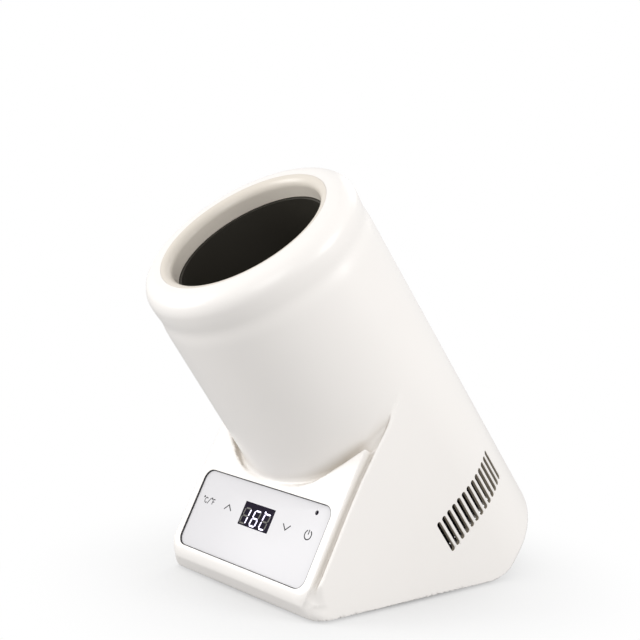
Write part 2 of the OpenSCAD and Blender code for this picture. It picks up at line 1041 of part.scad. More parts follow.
function curve_point(p, i, t) =
    let (a = p[max(i - 1, 0)], b = p[i], c = p[i + 1], d = p[min(i + 2, len(p) - 1)])
    0.5 * (2 * b + (c - a) * t + (2 * a - 5 * b + 4 * c - d) * t * t
           + (3 * b - a - 3 * c + d) * t * t * t);
function curve(p, steps = 4) =
    concat([for (i = [0 : len(p) - 2], j = [0 : steps - 1]) curve_point(p, i, j / steps)],
           [p[len(p) - 1]]);
function unit(v) = v / norm(v);
function wire_ring(at, along, r, sides) =
    let (u = unit(cross(along, [1, 0, 0.02])), v = cross(unit(along), u))
    [for (k = [0 : sides - 1]) at + r * (cos(360 * k / sides) * u + sin(360 * k / sides) * v)];

module wire(points, r, sides = 8) {
    path = curve(points);
    last = len(path) - 1;
    rings = [for (i = [0 : last])
        wire_ring(path[i], path[min(i + 1, last)] - path[max(i - 1, 0)], r, sides)];
    polyhedron(
        points = [for (one = rings) each one],
        faces = concat(
            [[for (k = [0 : sides - 1]) k]],
            [for (i = [0 : last - 1], k = [0 : sides - 1])
                let (a = i * sides + k, b = i * sides + (k + 1) % sides)
                [a, a + sides, b + sides, b]],
            [[for (k = [sides - 1 : -1 : 0]) last * sides + k]]));
}

// Wires lying side by side
module ribbon(points, count, r) {
    for (i = [0 : count - 1])
        translate([(i - (count - 1) / 2) * (2 * r + 0.1), 0, 0])
            wire(points, r);
}

panel_cable_route = [[0, -134.6, 44], [0, -131, 42], [0, -128.5, 34], [0, -128.8, 24], [0, -129, 19.3]];
jack_route = [[0, 33, 46.5], [-14, 26, 40], [-40, 2, 22], [-52, -30, 9], [-51, -62, 8],
              [-38, -78, 12], [-24, -86.3, 15]];
peltier_route = [[0, -20.4, 86], [0, -36, 86], [0, -47, 85.4], [0, -50.5, 80], [0, -54, 72],
                 [0, -58.6, 65.5]];
fan_route = [[40.8, -30, 40], [45, -36, 41], [47, -46, 45], [44, -54, 52], [36, -58, 60],
             [30, -58.6, 65.5]];
sensor_route = [[0, -50.8, 121.9], [0, -50.8, 112], [1, -52, 98], [4, -55, 87], [8, -56.5, 78],
                [13, -55, 71], [14, -57.2, 66.5]];

module panel_cable() {
    color([0.85, 0.85, 0.85])
        on_base()
            ribbon(panel_cable_route, 6, 0.55);
}

module jack_lead() {
    color(black_plastic)
        on_base()
            wire(jack_route, 1.5);
}

module peltier_leads() {
    color([0.6, 0.08, 0.08])
        along_tube()
            ribbon(peltier_route, 2, 0.9);
}

module fan_lead() {
    color(black_plastic)
        along_tube()
            wire(fan_route, 0.9);
}

module sensor_lead() {
    color([0.85, 0.85, 0.85])
        along_tube()
            wire(sensor_route, 0.9);
}

// --- Nodes ---

main_housing();
rim_collar();
well_liner();
liner_gasket();
bottle_pad();
foam_jacket();
foam_floor();
thermal_pad();
cold_block();
peltier_cold_plate();
peltier_pellets();
peltier_hot_plate();
peltier_seal();
clamp_screws();
clamp_bushes();
heat_sink();
air_baffle();
fan_frame();
fan_stator();
fan_rotor();
fan_magnet();
fan_shaft();
fan_screws();
temperature_sensor();
touch_glass();
display_module();
lit_segments();
unlit_segments();
indicator_led();
touch_springs();
control_board();
board_screws();
power_board();
power_components();
power_board_screws();
power_jack();
base_cover();
base_screws();
rubber_feet();
panel_cable();
jack_lead();
peltier_leads();
fan_lead();
sensor_lead();
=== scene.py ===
"""Looks of a countertop wine cooler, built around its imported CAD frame. All lengths are in metres."""
import json
from math import cos, pi, radians, sin, tan

import bmesh
import bpy
import numpy as np
from mathutils import Matrix, Vector


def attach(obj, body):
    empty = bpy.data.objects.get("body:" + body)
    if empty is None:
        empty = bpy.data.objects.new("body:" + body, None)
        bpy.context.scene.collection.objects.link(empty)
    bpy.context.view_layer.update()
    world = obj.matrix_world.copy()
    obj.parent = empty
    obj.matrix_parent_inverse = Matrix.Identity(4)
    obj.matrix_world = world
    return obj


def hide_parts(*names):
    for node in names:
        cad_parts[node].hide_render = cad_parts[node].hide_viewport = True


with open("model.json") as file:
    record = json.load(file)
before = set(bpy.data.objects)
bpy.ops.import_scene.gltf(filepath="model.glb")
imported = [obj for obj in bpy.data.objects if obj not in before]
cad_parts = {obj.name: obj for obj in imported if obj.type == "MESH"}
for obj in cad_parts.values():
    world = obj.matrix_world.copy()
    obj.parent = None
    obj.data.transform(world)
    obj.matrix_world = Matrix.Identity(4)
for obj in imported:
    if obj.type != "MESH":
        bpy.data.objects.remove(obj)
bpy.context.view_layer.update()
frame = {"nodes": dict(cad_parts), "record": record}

# --- Driving dimensions, as in the CAD part ---

TILT = radians(38)
FOOT_GAP = 0.0015
TUBE_R = 0.072
DRAFT = radians(1)
DRAFT_LEVEL = 0.060
RIM_CREST = 0.274
RIM_ROUND = 0.011
TAIL_CUT = 0.005
HEEL_ROUND = 0.033
WALL = 0.0026
MOUTH_R = 0.0485
MOUTH_ROUND = 0.0055
COLLAR_SEAM_R = 0.054
LINER_TOP = 0.261

PANEL_SLOPE = radians(63.2)
PANEL_REACH = 0.1652
PANEL_RISE = 0.0164
TOE_REACH = 0.1615
TOE_LEAN = radians(33)
FACE_HALF_W = 0.0666
FACE_LIFT = 0.001

GLASS_W = 0.121
GLASS_L = 0.0497
GLASS_T = 0.0015
GLASS_CORNER = 0.0065
GLASS_GAP = 0.0004
TOUCH_ROW = 0.0306
TOUCH_OUTER = 0.048
TOUCH_INNER = 0.0281
LED_U = 0.0442
DISPLAY_W = 0.0287
DISPLAY_H = 0.0148

VENT_COUNT = 13
VENT_FIRST = -0.0272
VENT_PITCH = 0.00515
VENT_W = 0.0031
VENT_LOW = 0.0534
VENT_HIGH = 0.0774
VENT_CHAMFER = 0.0004
VENT_CUT_IN = 0.009
VENT_CUT_OUT = 0.004

JACK_S = 0.017
JACK_R = 0.0054
PANEL_BACK = -0.008
BOARD_HOLES = [(x, u) for x in (-0.0564, 0.0564) for u in (0.005, 0.034)]
BASE_HOLES = [(x, y) for x in (-0.0653, 0.0653) for y in (-0.134, -0.052)]
FEET = [(x, y) for x in (-0.054, 0.054) for y in (-0.149, -0.026)]
FOOT_R = 0.007

# --- Frames: across and along the tube, up the panel, and over the base ---

well = next(m for m in frame["record"]["mounts"] if m["name"] == "bottle_well")
well_axis = Vector(well["axis"]).normalized()
well_point = Vector(well["pos_m"])
tube_foot = well_point - well_axis * ((well_point.z - FOOT_GAP) / well_axis.z)

BASE = Matrix.Translation(tube_foot)
TUBE = BASE @ Matrix.Rotation(TILT, 4, "X")
PANEL = BASE @ Matrix.Translation((0, -PANEL_REACH, PANEL_RISE)) @ Matrix.Rotation(PANEL_SLOPE, 4, "X")


def tube_radius(s):
    return TUBE_R - tan(DRAFT) * (s - DRAFT_LEVEL)


# --- Materials ---

# Painted shade in narrow corners: ambient occlusion darkens a colour towards a given shade colour
CREVICE_SHADE_REACH = 0.008
CREVICE_SHADE_FULL = 0.35
CREVICE_SHADE_NONE = 0.95
GRAIN_DEPTH = 0.0002


def with_crevice_shade(made, tint, crevice_shade):
    """Painted shade: the tint times a darker shade colour, in narrow corners only, where ambient occlusion
    finds other surfaces close by
    """
    nodes, links = made.node_tree.nodes, made.node_tree.links
    crevice_occlusion = nodes.new("ShaderNodeAmbientOcclusion")
    crevice_occlusion.samples = 4
    crevice_occlusion.only_local = True
    crevice_occlusion.inputs["Distance"].default_value = CREVICE_SHADE_REACH
    ramp = nodes.new("ShaderNodeValToRGB")
    ramp.color_ramp.elements[0].position = CREVICE_SHADE_FULL
    ramp.color_ramp.elements[0].color = (*crevice_shade, 1)
    ramp.color_ramp.elements[1].position = CREVICE_SHADE_NONE
    ramp.color_ramp.elements[1].color = (1, 1, 1, 1)
    links.new(crevice_occlusion.outputs["AO"], ramp.inputs["Fac"])
    mix = nodes.new("ShaderNodeMix")
    mix.data_type = "RGBA"
    mix.blend_type = "MULTIPLY"
    mix.inputs["Factor"].default_value = 1
    links.new(tint, mix.inputs["A"])
    links.new(ramp.outputs["Color"], mix.inputs["B"])
    return mix.outputs["Result"]


def material(name, color, rough, spread=0.03, grain=900, bump=0.04, metal=0.0, specular=0.5, blotch=14,
             emission=0.0, crevice_shade=None):
    """Procedural finish: slow blotches in the colour, fine grain in the roughness and the surface, and
    painted shade in narrow corners when a shade colour for them is given
    """
    made = bpy.data.materials.new(name)
    made.use_nodes = True
    nodes, links = made.node_tree.nodes, made.node_tree.links
    shader = nodes["Principled BSDF"]
    shader.inputs["Metallic"].default_value = metal
    shader.inputs["Specular IOR Level"].default_value = specular
    coordinates = nodes.new("ShaderNodeTexCoord")

    def noise(scale, detail):
        node = nodes.new("ShaderNodeTexNoise")
        node.inputs["Scale"].default_value = scale
        node.inputs["Detail"].default_value = detail
        links.new(coordinates.outputs["Object"], node.inputs["Vector"])
        return node.outputs["Fac"]

    slow = noise(blotch, 3)
    fine = noise(grain, 2)
    ramp = nodes.new("ShaderNodeValToRGB")
    ramp.color_ramp.elements[0].position = 0.3
    ramp.color_ramp.elements[1].position = 0.7
    ramp.color_ramp.elements[0].color = (*[c * (1 - spread) for c in color], 1)
    ramp.color_ramp.elements[1].color = (*[min(c * (1 + spread), 1) for c in color], 1)
    links.new(slow, ramp.inputs["Fac"])
    tint = ramp.outputs["Color"]
    if crevice_shade:
        tint = with_crevice_shade(made, tint, crevice_shade)
    links.new(tint, shader.inputs["Base Color"])
    scale = nodes.new("ShaderNodeMapRange")
    scale.inputs["To Min"].default_value = rough * 0.85
    scale.inputs["To Max"].default_value = min(rough * 1.15, 1)
    links.new(fine, scale.inputs["Value"])
    links.new(scale.outputs["Result"], shader.inputs["Roughness"])
    if bump:
        relief = nodes.new("ShaderNodeBump")
        relief.inputs["Strength"].default_value = bump
        relief.inputs["Distance"].default_value = GRAIN_DEPTH
        links.new(fine, relief.inputs["Height"])
        links.new(relief.outputs["Normal"], shader.inputs["Normal"])
    if emission:
        links.new(ramp.outputs["Color"], shader.inputs["Emission Color"])
        shader.inputs["Emission Strength"].default_value = emission
    return made


# The shell plastic carries painted shade: its colour darkens in narrow corners and grooves
SHELL_PLASTIC_WITH_CREVICE_SHADE = material("shell_plastic_crevice_shaded", (0.86, 0.83, 0.8), 0.3, spread=0.012, grain=1600, bump=0.05, blotch=9,
                 crevice_shade=(0.7, 0.67, 0.62))
# Painted shade: a darker beige copy of the shell plastic for the mouth ring, whose inner wall lies in shade
SHADED_MOUTH_PLASTIC = material("mouth_plastic_painted_shade", (0.7, 0.645, 0.57), 0.32, spread=0.012, grain=1600, bump=0.05,
                       blotch=9)
# Painted shade: dark beige for the cut walls of the vents, which are shell plastic lying in shade
VENT_WALL_SHADE = material("vent_wall_painted_shade", (0.34, 0.3, 0.24), 0.5, spread=0.03, grain=1600, bump=0.05, blotch=9)
OVERLAY = material("overlay_acrylic", (0.66, 0.65, 0.665), 0.3, spread=0.008, grain=700, bump=0.01,
                   specular=0.3)
LINER = material("liner_plastic", (0.03, 0.027, 0.021), 0.45, spread=0.1, grain=1800, bump=0.1)
BLACK = material("black_plastic", (0.014, 0.014, 0.015), 0.42, spread=0.12, grain=1500, bump=0.1)
RUBBER = material("rubber", (0.02, 0.02, 0.02), 0.75, spread=0.15, grain=1200, bump=0.25)
WINDOW = material("display_window", (0.012, 0.009, 0.019), 0.3, spread=0.1, grain=500, bump=0.01,
                  specular=0.02)
INK = material("printed_ink", (0.02, 0.02, 0.022), 0.6, spread=0.08, grain=2500, bump=0.05, specular=0.2)
LIT = material("lit_led", (0.8, 0.76, 1.0), 0.3, spread=0.02, grain=1500, bump=0.02, emission=1.1)
UNLIT = material("unlit_led", (0.05, 0.046, 0.032), 0.35, spread=0.08, grain=1500, bump=0.02)
FOAM = material("polyurethane_foam", (0.8, 0.76, 0.6), 0.9, spread=0.08, grain=420, bump=0.9, blotch=60)
# Black foam, for the part round the Peltier pellets and for the black ring of painted shade round the overlay
BLACK_FOAM_AND_GAP_SHADE = material("sponge_seal_and_gap_shade", (0.05, 0.05, 0.052), 0.9, spread=0.15, grain=700, bump=0.8)
PAD = material("silicone_pad", (0.035, 0.035, 0.036), 0.6, spread=0.1, grain=1100, bump=0.2)
THERMAL = material("thermal_pad", (0.28, 0.33, 0.42), 0.6, spread=0.05, grain=900, bump=0.2)
ALUMINIUM = material("cast_aluminium", (0.62, 0.63, 0.65), 0.38, spread=0.05, grain=1300, bump=0.15, metal=1)
ANODISED = material("anodised_black", (0.03, 0.03, 0.032), 0.4, spread=0.1, grain=1500, bump=0.1, metal=0.7)
CERAMIC = material("ceramic", (0.85, 0.85, 0.82), 0.45, spread=0.03, grain=1600, bump=0.08)
PELLET = material("pellet_metal", (0.2, 0.2, 0.22), 0.5, spread=0.15, grain=2000, bump=0.2, metal=0.8)
STEEL = material("zinc_steel", (0.5, 0.5, 0.51), 0.3, spread=0.06, grain=1500, bump=0.06, metal=1)
NYLON = material("nylon", (0.78, 0.77, 0.7), 0.5, spread=0.04, grain=1200, bump=0.08)
MAGNET = material("magnet_band", (0.09, 0.09, 0.1), 0.6, spread=0.1, grain=1800, bump=0.2, metal=0.5)
COPPER = material("copper_winding", (0.6, 0.27, 0.1), 0.35, spread=0.15, grain=900, bump=0.5, metal=0.9)
BRASS = material("spring_brass", (0.6, 0.45, 0.2), 0.3, spread=0.06, grain=1300, bump=0.05, metal=1)
BOARD = material("solder_mask", (0.012, 0.09, 0.035), 0.3, spread=0.35, grain=800, bump=0.25, blotch=120)
PARTS = material("component_bodies", (0.025, 0.025, 0.035), 0.45, spread=0.5, grain=1200, bump=0.15,
                 blotch=40)
GREY_WIRE = material("grey_insulation", (0.13, 0.13, 0.13), 0.5, spread=0.06, grain=1000, bump=0.08)
RED_WIRE = material("red_insulation", (0.35, 0.02, 0.02), 0.45, spread=0.08, grain=1000, bump=0.08)
BLACK_WIRE = material("black_insulation", (0.02, 0.02, 0.02), 0.5, spread=0.1, grain=1000, bump=0.08)

# --- Making pieces ---

SMOOTH_ANGLE = radians(32)
SAME_POINT = 1e-7


def new_object(name, vertices, faces):
    mesh = bpy.data.meshes.new(name)
    mesh.from_pydata([tuple(v) for v in vertices], [], [tuple(f) for f in faces])
    made = bpy.data.objects.new(name, mesh)
    bpy.context.scene.collection.objects.link(made)
    return made


def place(piece, matrix):
    """Moves the mesh itself, and keeps its faces outwards when the matrix mirrors"""
    piece.data.transform(matrix)
    if matrix.to_3x3().determinant() < 0:
        piece.data.flip_normals()
    return piece


def outward(piece):
    """Merges doubled points and turns every face outwards"""
    work = bmesh.new()
    work.from_mesh(piece.data)
    bmesh.ops.remove_doubles(work, verts=work.verts, dist=SAME_POINT)
    bmesh.ops.recalc_face_normals(work, faces=work.faces)
    work.to_mesh(piece.data)
    work.free()
    return piece


def joined(name, pieces):
    """One piece from several, which are used up"""
    work = bmesh.new()
    for piece in pieces:
        work.from_mesh(piece.data)
        bpy.data.objects.remove(piece)
    mesh = bpy.data.meshes.new(name)
    work.to_mesh(mesh)
    work.free()
    made = bpy.data.objects.new(name, mesh)
    bpy.context.scene.collection.objects.link(made)
    return made


def combine(target, tool, operation):
    """Boolean of two closed meshes; the tool is used up"""
    step = target.modifiers.new("combine", "BOOLEAN")
    step.operation = operation
    step.solver = "MANIFOLD"
    step.object = tool
    bpy.context.view_layer.update()
    evaluated = target.evaluated_get(bpy.context.evaluated_depsgraph_get())
    done = bpy.data.meshes.new_from_object(evaluated)
    target.modifiers.clear()
    done.name = target.data.name
    target.data = done
    bpy.data.objects.remove(tool)
    return target


def finished(piece, surface, replaces=(), body="cooler", smooth=True):
    """Shading, material, body and, where given, replaced nodes"""
    if smooth:
        piece.data.shade_smooth()
        piece.data.set_sharp_from_angle(angle=SMOOTH_ANGLE)
    piece.data.materials.clear()
    piece.data.materials.append(surface)
    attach(piece, body)
    if replaces:
        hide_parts(*replaces)
    return piece


def arc(cx, cy, r, start, end, steps=8):
    """Points on an arc, angles in degrees"""
    turns = [radians(start + (end - start) * i / steps) for i in range(steps + 1)]
    return [(cx + r * cos(a), cy + r * sin(a)) for a in turns]


def lathe(name, outline, matrix, sides=144):
    """Closed (radius, height) outline turned about the Z axis"""
    vertices = [(r * cos(2 * pi * k / sides), r * sin(2 * pi * k / sides), h)
                for k in range(sides) for r, h in outline]
    count = len(outline)
    faces = [[k * count + i, (k + 1) % sides * count + i,
              (k + 1) % sides * count + (i + 1) % count, k * count + (i + 1) % count]
             for k in range(sides) for i in range(count)]
    return place(outward(new_object(name, vertices, faces)), matrix)


def loft(name, loops, matrix=Matrix.Identity(4)):
    """Closed solid through matching loops of (x, y, z) points, capped at both ends"""
    count = len(loops[0])
    faces = [list(range(count))[::-1], [(len(loops) - 1) * count + k for k in range(count)]]
    for i in range(len(loops) - 1):
        for k in range(count):
            a, b = i * count + k, i * count + (k + 1) % count
            faces.append([a, b, b + count, a + count])
    return place(outward(new_object(name, [p for loop in loops for p in loop], faces)), matrix)


def loft_ring(name, loops, matrix):
    """Ring-shaped solid: the last loop is the first one again"""
    count = len(loops[0])
    faces = []
    for i in range(len(loops) - 1):
        for k in range(count):
            a, b = i * count + k, i * count + (k + 1) % count
            faces.append([a, b, b + count, a + count])
    return place(outward(new_object(name, [p for loop in loops for p in loop], faces)), matrix)


def rounded_rectangle(w, l, r, grow=0.0):
    """Outline centred on the origin, moved outwards by grow"""
    x, y, r = w / 2 + grow, l / 2 + grow, r + grow
    corners = [(x - r, y - r, 0), (r - x, y - r, 90), (r - x, r - y, 180), (x - r, r - y, 270)]
    return [p for cx, cy, start in corners for p in arc(cx, cy, r, start, start + 90)]


def plate(name, w, l, r, low, high, matrix, edge=0.0):
    """Flat plate with rounded corners; edge rounds its upper edge"""
    rows = [(low, 0.0)]
    if edge:
        rows += [(high - edge + edge * sin(a), edge * (cos(a) - 1)) for a in (0, pi / 6, pi / 3, pi / 2)]
    else:
        rows.append((high, 0.0))
    loops = [[(x, y, h) for x, y in rounded_rectangle(w, l, r, grow)] for h, grow in rows]
    return loft(name, loops, matrix)


def rod(r, low, high, matrix, sides=32):
    """Plain cylinder that cuts or joins another piece"""
    loops = [[(x, y, h) for x, y in arc(0, 0, r, 0, 360 - 360 / sides, sides - 1)] for h in (low, high)]
    return loft("rod", loops, matrix)


# --- Casing: a distance field, meshed on a grid that follows the panel ---

EDGE_ROUND = 0.0013
STEP_COVE = 0.0026
COVE_END = 0.0003
CORNER_ROUND = 0.013
CORNER_LOW = 0.0082
NOSE_ROUND = 0.0095
FACE_ROUND = 0.0008
NECK_FILLET = 0.0065
GROOVE_DEPTH = 0.0007
GROOVE_S = 0.2515
GROOVE_W = 0.0055
STRIP_COURSE = (-0.009, -0.001, 0.011, 0.050, 0.070, 0.086, 0.119)
STRIP_LEVEL = (-0.001, -0.0016, -0.0024, -0.0025, -0.0031, -0.0045, -0.008)
CHANNEL_COURSE = (0, 0.0116, 0.0249, 0.0355, 0.0427, 0.0493, 0.0561, 0.060, 0.063, 0.0666)
CHANNEL_W = (0.00165, 0.00257, 0.00353, 0.0040, 0.0038, 0.00375, 0.00489, 0.00576, 0.00668, 0.0080)
GULLY_DEPTH = 0.002
GULLY_INNER = 0.0674
GULLY_OUTER = 0.0692
CHANNEL_DEPTH = 0.0012
CHANNEL_START = 0.012
CHANNEL_END = 0.052
UNDER_ROUND = 0.0006
UNDER_GROWTH = 0.0026

# Stretches over which a size fades in or out
GULLY_FADE = (-0.004, 0.014)
COVE_FADE = (-0.004, 0.012)
CORNER_FADE = (0.010, -0.006)
CORNER_RISE = (0.002, 0.010)
EDGE_FADE = (-0.008, -0.020)
UNDER_FADE = (0.0, 0.014)

SLOPE_STEP = 2e-5
SKIN_MATCH = 3e-5
SKIN_FACING = 0.6
WALL_MATCH = 2e-5
BOARD_BOSS_R = 0.0032
BOARD_BOSS_HIGH = 0.004
BASE_BOSS_R = 0.005
BASE_BOSS_HIGH = 0.0186
TOUCH_OPENING_W = 0.106
TOUCH_OPENING_EDGE = 0.005
TOUCH_OPENING_CORNER = 0.003
COLLAR_PLAY = 0.0001
JACK_PLAY = 0.0002


def smoothstep(low, high, x):
    t = np.clip((x - low) / (high - low), 0, 1)
    return t * t * (3 - 2 * t)


def meet(a, b, r):
    """Rounded intersection of two fields"""
    return np.minimum(-r, np.maximum(a, b)) + np.hypot(np.maximum(r + a, 0), np.maximum(r + b, 0))


def join(a, b, r):
    """Rounded union of two fields"""
    return -meet(-a, -b, r)


def blend_size(r, turn):
    """Size to give meet or join for a true radius r where the surfaces turn by an angle"""
    return r * (1 - cos(turn))


def over_base(u, n):
    """The base's y and z of a point in the panel frame"""
    y = u * cos(PANEL_SLOPE) - n * sin(PANEL_SLOPE) - PANEL_REACH
    z = u * sin(PANEL_SLOPE) + n * cos(PANEL_SLOPE) + PANEL_RISE
    return y, z


def tube_field(x, v, s, radius, inset):
    """Drafted tube with a rounded crest, alone"""
    return meet((np.hypot(x, v) - radius) * cos(DRAFT), s - RIM_CREST + inset, RIM_ROUND - inset)


def floor_level(x, u, lift):
    """Level beside the face: a strip along each side wall, and a shallow channel in the middle"""
    gully = GULLY_DEPTH * (1 - smoothstep(GULLY_INNER, GULLY_OUTER, np.abs(x))) * smoothstep(*GULLY_FADE, u)
    strip = np.interp(u, STRIP_COURSE, STRIP_LEVEL) - gully
    shallow = 1 - smoothstep(CHANNEL_START, CHANNEL_END, np.abs(x))
    return strip + (lift - CHANNEL_DEPTH - strip) * shallow


def neck_field(x, u, s):
    """Upper end of the face, which keeps a gap to the tube"""
    y, z = over_base(u, FACE_LIFT)
    v = y * cos(TILT) + z * sin(TILT)
    gap = np.interp(np.abs(x), CHANNEL_COURSE, CHANNEL_W)
    return tube_radius(s) + gap - np.hypot(x, np.minimum(v, 0))


def panel_field(x, u, n, s, inset):
    """Raised face above the strip and the channel"""
    lift = 0.0 if inset else FACE_LIFT
    face = meet(n - lift + inset, np.abs(x) - FACE_HALF_W + inset, FACE_ROUND)
    face = meet(face, neck_field(x, u, s) + inset, FACE_ROUND)
    cove = COVE_END + (STEP_COVE - COVE_END) * smoothstep(*COVE_FADE, u)
    return join(face, n - floor_level(x, u, lift) + inset, cove)


def front_edge(u, v, z):
    """Rounding between the front and the side walls, widest at the two front corners"""
    corner = CORNER_LOW + (CORNER_ROUND - CORNER_LOW) * smoothstep(*CORNER_RISE, z)
    corner = corner * smoothstep(*CORNER_FADE, u)
    return np.maximum(EDGE_ROUND * smoothstep(*EDGE_FADE, v), corner)


def casing_field(p, inset=0.0, closed=True):
    """Distance outside the casing's skin moved inwards by inset; p holds (x, u, n) in the panel frame"""
    x, u, n = p[:, 0], p[:, 1], p[:, 2]
    y, z = over_base(u, n)
    v = y * cos(TILT) + z * sin(TILT)
    s = z * cos(TILT) - y * sin(TILT)
    radius = tube_radius(s) - inset - GROOVE_DEPTH * np.exp(-((s - GROOVE_S) / GROOVE_W) ** 2)
    tube = tube_field(x, v, s, radius, inset)
    flank = (np.abs(x) - radius) * cos(DRAFT)
    sides = np.minimum(tube, np.maximum(flank, v))
    toe = inset - cos(TOE_LEAN) * (y + TOE_REACH) - sin(TOE_LEAN) * z
    block = meet(panel_field(x, u, n, s, inset), toe,
                 blend_size(NOSE_ROUND, pi / 2 - PANEL_SLOPE + TOE_LEAN))
    front = join(tube, block, blend_size(NECK_FILLET, pi / 2 - PANEL_SLOPE + TILT))
    body = meet(front, sides, front_edge(u, v, z))
    if not closed:
        return np.maximum(body, np.maximum(-z, TAIL_CUT - s) - 2 * WALL)
    under = meet(-z, TAIL_CUT - s, blend_size(HEEL_ROUND, TILT))
    return meet(body, under, UNDER_ROUND + UNDER_GROWTH * smoothstep(*UNDER_FADE, z))


def inner_field(p):
    """Inside of the walls, open at the bottom"""
    return casing_field(p, WALL, closed=False)


def field_slope(field, p):
    """Unit vectors in which the field grows fastest"""
    moves = np.eye(3) * SLOPE_STEP
    slope = np.stack([field(p + m) - field(p - m) for m in moves], 1) / (2 * SLOPE_STEP)
    return slope / np.maximum(np.linalg.norm(slope, axis=1, keepdims=True), 1e-9)


def graded(stops):
    """Grid positions between stops (position, spacing after it)"""
    made = []
    for (low, spacing), (high, _) in zip(stops, stops[1:]):
        made.append(np.linspace(low, high, max(round((high - low) / spacing), 1), endpoint=False))
    return np.concatenate([*made, [stops[-1][0]]])


def surface_net(name, field, axes):
    """Quad mesh on the zero level of a field: one vertex in each grid cell that the surface crosses"""
    grid = np.stack(np.meshgrid(*axes, indexing="ij"), -1)
    value = field(grid.reshape(-1, 3)).reshape(grid.shape[:3])
    inside = value < 0
    cells = np.array(inside.shape) - 1
    total = np.zeros((*cells, 3))
    count = np.zeros(cells)
    for axis in range(3):
        side, corner, held = (np.moveaxis(a, axis, 0) for a in (value, grid, inside))
        crossed = held[:-1] != held[1:]
        share = np.where(crossed, side[:-1] / np.where(crossed, side[:-1] - side[1:], 1), 0)
        point = corner[:-1] + share[..., None] * (corner[1:] - corner[:-1])
        sums, counts = np.moveaxis(total, axis, 0), np.moveaxis(count, axis, 0)
        for a in (slice(0, -1), slice(1, None)):
            for b in (slice(0, -1), slice(1, None)):
                sums += np.where(crossed[:, a, b, None], point[:, a, b], 0)
                counts += crossed[:, a, b]
    used = count > 0
    number = np.full(cells, -1)
    number[used] = np.arange(used.sum())
    points = total[used] / count[used][:, None]
    for _ in range(4):
        points -= field(points)[:, None] * field_slope(field, points)
    faces = []
    for axis in range(3):
        held, cell = np.moveaxis(inside, axis, 0), np.moveaxis(number, axis, 0)
        i, j, k = np.nonzero(held[:-1, 1:-1, 1:-1] != held[1:, 1:-1, 1:-1])
        quad = np.stack([cell[i, j, k], cell[i, j + 1, k], cell[i, j + 1, k + 1], cell[i, j, k + 1]], 1)
        turned = held[i, j + 1, k + 1] == (axis == 1)
        quad[turned] = quad[turned][:, ::-1]
        faces.append(quad)
    return new_object(name, points, np.concatenate(faces))


def shade_by_fields(piece, fields, matrix):
    """Custom normals: the field's own slope on its skin, the flat face's normal on cut faces"""
    mesh = piece.data
    points = np.empty(len(mesh.vertices) * 3)
    mesh.vertices.foreach_get("co", points)
    points = points.reshape(-1, 3)
    flat = np.empty(len(mesh.polygons) * 3)
    mesh.polygons.foreach_get("normal", flat)
    sizes = np.empty(len(mesh.polygons), int)
    mesh.polygons.foreach_get("loop_total", sizes)
    at = np.empty(len(mesh.loops), int)
    mesh.loops.foreach_get("vertex_index", at)
    normals = np.repeat(flat.reshape(-1, 3), sizes, axis=0)
    for field, sign in fields:
        slope = sign * field_slope(field, points)
        near = np.abs(field(points)) < SKIN_MATCH
        fits = near[at] & (np.einsum("ij,ij->i", slope[at], normals) > SKIN_FACING)
        normals[fits] = slope[at][fits]
    mesh.shade_smooth()
    mesh.normals_split_custom_set(normals)
    place(piece, matrix)


def stadium(length, width, grow):
    """Slot outline, long along X"""
    half, r = length / 2 - width / 2, width / 2 + grow
    return arc(half, 0, r, -90, 90, 10) + arc(-half, 0, r, 90, 270, 10)


def vent_cutters():
    """Slots with a fine chamfer, on the flat flank up to the tangent line and then round the tube"""
    middle, length = (VENT_LOW + VENT_HIGH) / 2, VENT_HIGH - VENT_LOW
    r = tube_radius(middle)
    depths = [(-VENT_CUT_IN, 0.0), (-VENT_CHAMFER, 0.0), (0.0, VENT_CHAMFER),
              (VENT_CUT_OUT, VENT_CHAMFER + VENT_CUT_OUT)]
    cutters = []
    for side in (1, -1):
        for i in range(VENT_COUNT):
            along = VENT_FIRST + i * VENT_PITCH
            turn = Matrix.Rotation(max(along, 0) / r, 4, "Z")
            spot = Matrix.Translation((r, min(along, 0), middle)) @ Matrix.Rotation(-DRAFT, 4, "Y")
            loops = [[(h, b, a) for a, b in stadium(length, VENT_W, grow)] for h, grow in depths]
            cutters.append(loft("vent", loops, TUBE @ Matrix.Diagonal((side, 1, 1, 1)) @ turn @ spot))
    return cutters


def vent_shade_faces(piece):
    """1 for the faces that line the vents, which get painted shade, 0 for the others"""
    middle = np.empty(len(piece.data.polygons) * 3)
    piece.data.polygons.foreach_get("center", middle)
    middle = middle.reshape(-1, 3)
    turn = np.array(TUBE.inverted() @ PANEL)
    x, v, s = (middle @ turn[:3, :3].T + turn[:3, 3]).T
    depth = -casing_field(middle)
    in_wall = (depth > VENT_CHAMFER) & (depth < WALL - WALL_MATCH)
    in_row = (np.abs(x) > TUBE_R / 2) & (v > VENT_FIRST - VENT_W)
    in_height = (s > VENT_LOW - VENT_W) & (s < VENT_HIGH + VENT_W)
    return (in_wall & in_row & in_height).astype(np.int32)


def casing_skin(fine):
    """Closed outer body, on a grid that is finest at the panel's edges"""
    across = [(-0.0755, 0.0018), (-0.0735, 0.0009), (-0.0625, 0.0021), (0.0625, 0.0009), (0.0735, 0.0018),
              (0.0755, 0)]
    upward = [(-0.020, 0.0014), (0.026, 0.0020), (0.044, 0.0016), (0.070, 0.0018), (0.236, 0)]
    outwards = [(-0.188, 0.0021), (-0.012, 0.0009), (0.002, 0.0018), (0.138, 0)]
    axes = [graded([(a, d * fine) for a, d in stops]) for stops in (across, upward, outwards)]
    return surface_net("casing", casing_field, axes)


